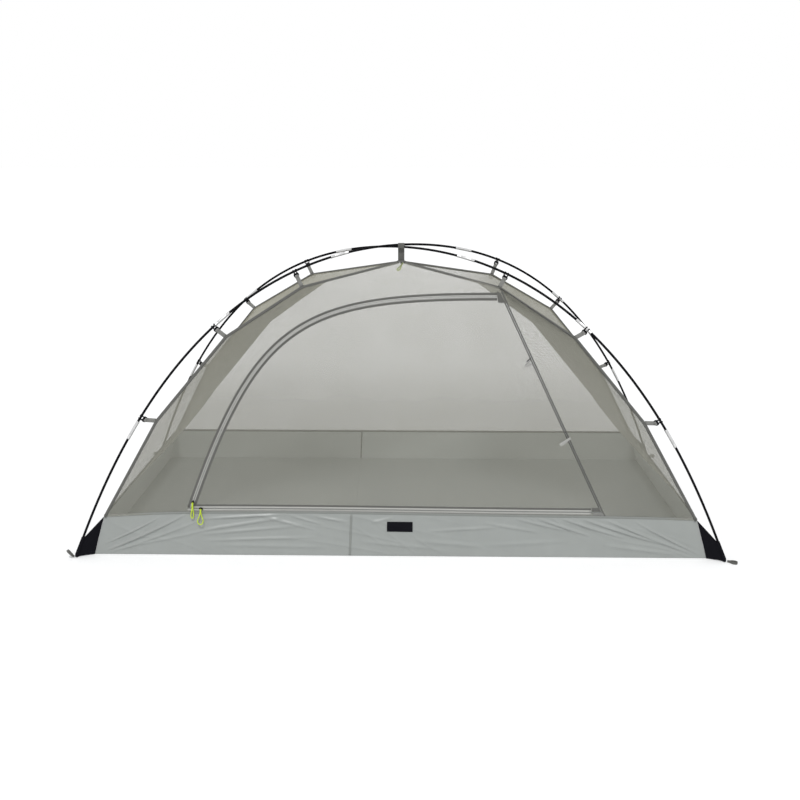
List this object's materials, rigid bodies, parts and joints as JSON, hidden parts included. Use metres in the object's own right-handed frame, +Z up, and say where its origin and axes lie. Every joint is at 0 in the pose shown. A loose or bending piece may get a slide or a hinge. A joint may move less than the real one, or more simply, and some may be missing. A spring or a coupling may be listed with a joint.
{
  "type": "mosquito net tent",
  "caption": "Free-standing mosquito net tent: crossing bent poles over a clipped-on net cabin with a D-shaped zipped door and a bathtub floor.",
  "frame": {"origin": "middle of the floor's underside, on the ground", "axes": "+X along the tent, +Z up, -Y the front, where the door is"},
  "size_m": [2.3412, 1.1314, 1.0381],
  "materials": {
    "black_tube": "smooth black glass-fibre tube",
    "silver_ferrule": "bright drawn sleeve",
    "black_plastic": "moulded, slightly glossy",
    "black_fabric": "coated woven cloth, doubled",
    "grey_ground_sheet": "coated ripstop cloth, faint sheen",
    "grey_netting": "fine see-through mosquito netting",
    "grey_webbing": "woven tape",
    "lime_cord": "braided cord"
  },
  "bodies": {
    "tent": {"upper_pole_section_1": "black_tube", "upper_pole_section_2": "black_tube", "upper_pole_section_3": "black_tube", "upper_pole_section_4": "black_tube", "upper_pole_section_5": "black_tube", "upper_pole_section_6": "black_tube", "upper_pole_section_7": "black_tube", "upper_pole_ferrule_1": "silver_ferrule", "upper_pole_ferrule_2": "silver_ferrule", "upper_pole_ferrule_3": "silver_ferrule", "upper_pole_ferrule_4": "silver_ferrule", "upper_pole_ferrule_5": "silver_ferrule", "upper_pole_ferrule_6": "silver_ferrule", "lower_pole_section_1": "black_tube", "lower_pole_section_2": "black_tube", "lower_pole_section_3": "black_tube", "lower_pole_section_4": "black_tube", "lower_pole_section_5": "black_tube", "lower_pole_section_6": "black_tube", "lower_pole_section_7": "black_tube", "lower_pole_ferrule_1": "silver_ferrule", "lower_pole_ferrule_2": "silver_ferrule", "lower_pole_ferrule_3": "silver_ferrule", "lower_pole_ferrule_4": "silver_ferrule", "lower_pole_ferrule_5": "silver_ferrule", "lower_pole_ferrule_6": "silver_ferrule", "pole_clip_front_left_top": "black_plastic", "pole_clip_front_left_middle": "black_plastic", "pole_clip_front_left_low": "black_plastic", "pole_clip_front_right_top": "black_plastic", "pole_clip_front_right_middle": "black_plastic", "pole_clip_front_right_low": "black_plastic", "pole_clip_back_left_top": "black_plastic", "pole_clip_back_left_middle": "black_plastic", "pole_clip_back_left_low": "black_plastic", "pole_clip_back_right_top": "black_plastic", "pole_clip_back_right_middle": "black_plastic", "pole_clip_back_right_low": "black_plastic", "bathtub_floor": "grey_ground_sheet", "corner_gusset_front_left": "black_fabric", "corner_gusset_front_right": "black_fabric", "corner_gusset_back_left": "black_fabric", "corner_gusset_back_right": "black_fabric", "net_back": "grey_netting", "net_left_end": "grey_netting", "net_right_end": "grey_netting", "net_front_arch": "grey_netting", "net_front_side": "grey_netting", "seam_tapes": "grey_webbing", "door_zip_tape": "grey_webbing"},
    "door": {"door_leaf": "grey_netting"},
    "bottom_slider": {"bottom_slider": "black_plastic"},
    "arc_slider": {"arc_slider": "black_plastic"},
    "bottom_slider_pull": {"bottom_slider_pull": "lime_cord"},
    "arc_slider_pull": {"arc_slider_pull": "lime_cord"},
    "lantern_loop": {"lantern_loop": "lime_cord"},
    "stake_loop_front_left": {"stake_loop_front_left": "grey_webbing"},
    "stake_loop_front_right": {"stake_loop_front_right": "grey_webbing"},
    "stake_loop_back_left": {"stake_loop_back_left": "grey_webbing"},
    "stake_loop_back_right": {"stake_loop_back_right": "grey_webbing"}
  },
  "joints": [
    {"name": "door_hinge", "type": "hinge", "parent": "tent", "child": "door", "pos_m": [0.35446, -0.17924, 0.89915], "axis": [-0.4037, 0.3507, 0.845], "range_deg": [0, 95]},
    {"name": "bottom_slide", "type": "slide", "parent": "door", "child": "bottom_slider", "axis": [1, 0.0033, 0], "range_m": [0, 1.3]},
    {"name": "arc_slide", "type": "slide", "parent": "door", "child": "arc_slider", "axis": [0.3246, 0.3162, 0.8914], "range_m": [0, 0.13]},
    {"name": "bottom_pull_hinge", "type": "hinge", "parent": "bottom_slider", "child": "bottom_slider_pull", "pos_m": [-0.69445, -0.49901, 0.165], "axis": [-1, 0, 0], "range_deg": [0, 100]},
    {"name": "arc_pull_hinge", "type": "hinge", "parent": "arc_slider", "child": "arc_slider_pull", "pos_m": [-0.7231, -0.49198, 0.18572], "axis": [-1, 0, 0], "range_deg": [0, 100]},
    {"name": "lantern_hinge", "type": "hinge", "parent": "tent", "child": "lantern_loop", "pos_m": [0, 0, 0.962], "axis": [1, 0, 0], "range_deg": [-60, 60]},
    {"name": "stake_loop_front_left_hinge", "type": "hinge", "parent": "tent", "child": "stake_loop_front_left", "pos_m": [-1.13903, -0.54568, 0.0043], "axis": [-0.432, 0.9018, 0], "range_deg": [-55, 30]},
    {"name": "stake_loop_front_right_hinge", "type": "hinge", "parent": "tent", "child": "stake_loop_front_right", "pos_m": [1.13903, -0.54568, 0.0043], "axis": [-0.432, -0.9018, 0], "range_deg": [0, 85]},
    {"name": "stake_loop_back_left_hinge", "type": "hinge", "parent": "tent", "child": "stake_loop_back_left", "pos_m": [-1.13903, 0.54568, 0.0043], "axis": [0.432, 0.9018, 0], "range_deg": [0, 85]},
    {"name": "stake_loop_back_right_hinge", "type": "hinge", "parent": "tent", "child": "stake_loop_back_right", "pos_m": [1.13903, 0.54568, 0.0043], "axis": [0.432, -0.9018, 0], "range_deg": [0, 85]}
  ]
}
